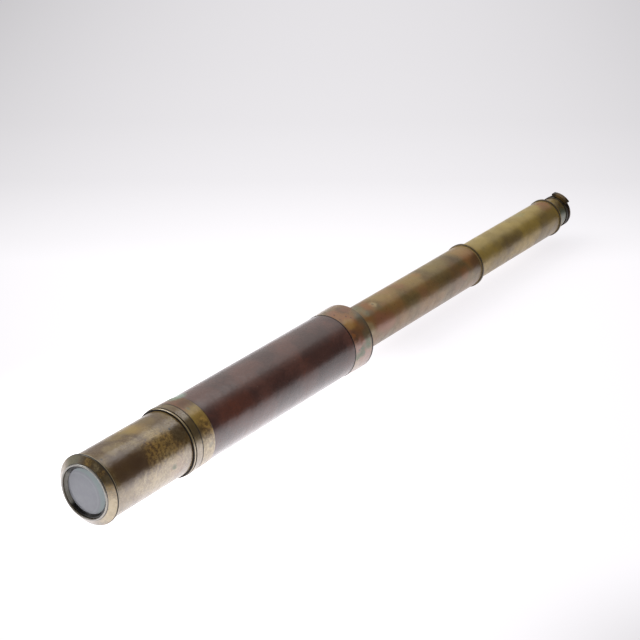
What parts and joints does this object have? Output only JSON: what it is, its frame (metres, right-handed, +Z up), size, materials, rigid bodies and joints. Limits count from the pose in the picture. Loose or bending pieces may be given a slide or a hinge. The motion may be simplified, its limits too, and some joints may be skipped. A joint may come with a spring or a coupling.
{
  "type": "hand telescope",
  "caption": "Drawn-out hand telescope with a dark wooden barrel, brass ferrules, sliding brass draw tubes and an eyepiece with a swinging dust shutter.",
  "frame": {"origin": "on the surface that the telescope lies on, below the middle of its drawn-out length", "axes": "+X along the optical axis from the objective to the eye, +Z up, with the telescope drawn fully out and level"},
  "size_m": [0.6244, 0.0514, 0.0514],
  "materials": {
    "bezel_brass": "aged, olive brown",
    "front_brass": "aged, mottled",
    "collar_brass": "aged, olive brown",
    "front_ferrule_brass": "aged, copper pink and green",
    "rear_ferrule_brass": "aged, copper pink and green",
    "barrel_wood": "dark polish",
    "draw_1_brass": "aged, copper patches",
    "draw_2_brass": "aged, olive",
    "inner_brass": "plain turned",
    "blacked_brass": "matt black",
    "eyepiece_brass": "aged, dark",
    "eye_cap_brass": "aged, nearly black",
    "pin_brass": "tarnished",
    "lens_glass": "polished"
  },
  "bodies": {
    "barrel": {"objective_bezel": "bezel_brass", "lens_retaining_ring": "blacked_brass", "crown_lens": "lens_glass", "lens_spacer": "blacked_brass", "flint_lens": "lens_glass", "front_tube": "front_brass", "front_baffle": "blacked_brass", "objective_collar": "collar_brass", "front_ferrule": "front_ferrule_brass", "barrel_tube": "barrel_wood", "rear_ferrule": "rear_ferrule_brass", "ferrule_pins": "pin_brass", "draw_1_bush": "inner_brass"},
    "draw_1": {"draw_1_tube": "draw_1_brass", "draw_1_guide_ring": "inner_brass", "draw_1_baffle": "blacked_brass", "draw_2_bush": "inner_brass", "draw_1_end_ring": "draw_1_brass"},
    "draw_2": {"draw_2_tube": "draw_2_brass", "draw_2_guide_ring": "inner_brass", "draw_2_end_ring": "draw_2_brass", "erector_tube": "inner_brass", "erector_front_lens": "lens_glass", "erector_front_ring": "blacked_brass", "erector_stop": "blacked_brass", "erector_rear_lens": "lens_glass", "erector_rear_ring": "blacked_brass", "eyepiece_body": "eyepiece_brass", "eyepiece_tube": "inner_brass", "field_lens": "lens_glass", "field_lens_ring": "blacked_brass", "field_stop": "blacked_brass", "eye_lens": "lens_glass", "eye_lens_ring": "blacked_brass", "eye_cap": "eye_cap_brass", "shutter_screw": "pin_brass"},
    "shutter": {"eyepiece_shutter": "eye_cap_brass"}
  },
  "joints": [
    {"name": "draw_1_slide", "type": "slide", "parent": "barrel", "child": "draw_1", "axis": [1, 0, 0], "range_m": [-0.1708, 0]},
    {"name": "draw_2_slide", "type": "slide", "parent": "draw_1", "child": "draw_2", "axis": [1, 0, 0], "range_m": [-0.1306, 0]},
    {"name": "shutter_swing", "type": "hinge", "parent": "draw_2", "child": "shutter", "pos_m": [0.30955, 0.00352, 0.01602], "axis": [1, 0, 0], "range_deg": [0, 42]}
  ]
}
